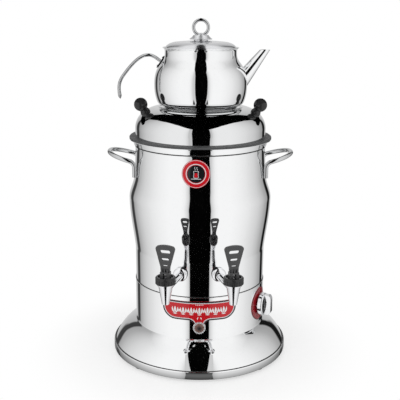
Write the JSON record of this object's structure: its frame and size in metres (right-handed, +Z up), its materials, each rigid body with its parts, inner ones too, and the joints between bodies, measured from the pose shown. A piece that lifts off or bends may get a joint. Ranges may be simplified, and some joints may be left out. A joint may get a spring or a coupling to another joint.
{
  "type": "electric samovar",
  "caption": "Polished steel samovar: flared base, bellied boiler with lever taps, thermostat and loop handles, domed lid with ball knobs and a teapot standing on the dome.",
  "frame": {"origin": "on the table, under the axis of the boiler", "axes": "+Z up along the boiler's axis; the taps point towards -Y; the thermostat and the teapot's spout are on the +X side; +Y is the back with the mains inlet"},
  "size_m": [0.3394, 0.376, 0.6175],
  "materials": {
    "polished_steel": "mirror-polished stainless steel sheet",
    "plain_steel": "plain stainless steel",
    "chrome_fitting": "polished chrome plate",
    "black_plastic": "smooth black phenolic",
    "grey_rubber": "smooth dark grey silicone rubber",
    "red_plate": "glossy red enamel with a pale edge",
    "brass_nut": "turned brass",
    "copper_tube": "drawn copper",
    "cream_plastic": "moulded insulator",
    "wire_sleeve": "silicone wire sleeve",
    "red_lens": "dark red moulded jewel"
  },
  "bodies": {
    "boiler": {"base_skirt": "polished_steel", "base_shell": "polished_steel", "base_plate": "plain_steel", "feet": "grey_rubber", "foot_screws": "chrome_fitting", "tank": "polished_steel", "tank_floor": "plain_steel", "heating_element": "plain_steel", "element_seals": "grey_rubber", "element_nuts": "brass_nut", "thermal_cutout": "black_plastic", "capillary": "copper_tube", "terminal_block": "cream_plastic", "power_inlet": "black_plastic", "inlet_pins": "chrome_fitting", "wiring": "wire_sleeve", "thermostat_body": "black_plastic", "thermostat_screws": "chrome_fitting", "dial_plate": "red_plate", "lamp_bezel": "chrome_fitting", "lamp_lens": "red_lens", "lamp_body": "black_plastic", "name_plate": "red_plate", "badge": "red_plate", "side_handle_left": "polished_steel", "side_handle_right": "polished_steel", "tap_seals": "grey_rubber", "tap_nuts": "brass_nut", "left_tap_body": "chrome_fitting", "left_tap_bonnet": "black_plastic", "left_tap_spring": "plain_steel", "right_tap_body": "chrome_fitting", "right_tap_bonnet": "black_plastic", "right_tap_spring": "plain_steel"},
    "thermostat_knob": {"thermostat_shaft": "plain_steel", "thermostat_knob": "chrome_fitting"},
    "left_tap_stem": {"left_tap_stem": "plain_steel", "left_tap_cup": "grey_rubber", "left_tap_pin": "chrome_fitting"},
    "left_tap_lever": {"left_tap_lever": "black_plastic"},
    "right_tap_stem": {"right_tap_stem": "plain_steel", "right_tap_cup": "grey_rubber", "right_tap_pin": "chrome_fitting"},
    "right_tap_lever": {"right_tap_lever": "black_plastic"},
    "dome_lid": {"dome_lid": "polished_steel", "lid_seal": "grey_rubber", "ball_knobs": "black_plastic", "ball_knob_screws": "chrome_fitting"},
    "teapot": {"pot_body": "polished_steel", "pot_disc": "polished_steel", "pot_spout": "polished_steel", "pot_handle": "polished_steel", "pot_bracket": "polished_steel", "pot_rivets": "polished_steel"},
    "teapot_lid": {"pot_lid": "polished_steel", "pot_lid_cap": "chrome_fitting", "pot_lid_ring": "chrome_fitting", "pot_lid_screw": "chrome_fitting"}
  },
  "joints": [
    {"name": "thermostat_turn", "type": "hinge", "parent": "boiler", "child": "thermostat_knob", "pos_m": [0, 0, 0.1028], "axis": [-0.9171, 0.3987, 0], "range_deg": [0, 270]},
    {"name": "left_stem_lift", "type": "slide", "parent": "boiler", "child": "left_tap_stem", "axis": [0, 0, 1], "range_m": [0, 0.0025], "stiffness_N_per_m": 600, "springref_m": -0.004, "deforming": ["left_tap_spring"]},
    {"name": "left_lever_tilt", "type": "hinge", "parent": "left_tap_stem", "child": "left_tap_lever", "pos_m": [-0.05595, -0.19514, 0.2093], "axis": [0.9613, -0.2756, 0], "range_deg": [0, 35]},
    {"name": "right_stem_lift", "type": "slide", "parent": "boiler", "child": "right_tap_stem", "axis": [0, 0, 1], "range_m": [0, 0.0025], "stiffness_N_per_m": 600, "springref_m": -0.004, "deforming": ["right_tap_spring"]},
    {"name": "right_lever_tilt", "type": "hinge", "parent": "right_tap_stem", "child": "right_tap_lever", "pos_m": [0.05595, -0.19514, 0.2093], "axis": [0.9613, 0.2756, 0], "range_deg": [0, 35]},
    {"name": "dome_lid_lift", "type": "slide", "parent": "boiler", "child": "dome_lid", "axis": [0, 0, 1], "range_m": [0, 0.15]},
    {"name": "teapot_lift", "type": "slide", "parent": "dome_lid", "child": "teapot", "axis": [0, 0, 1], "range_m": [0, 0.2]},
    {"name": "teapot_lid_lift", "type": "slide", "parent": "teapot", "child": "teapot_lid", "axis": [0, 0, 1], "range_m": [0, 0.08]}
  ],
  "couplings": [
    {"joint": "left_lever_tilt", "follows": "left_stem_lift", "rad_per_m": 238},
    {"joint": "right_lever_tilt", "follows": "right_stem_lift", "rad_per_m": 238}
  ]
}
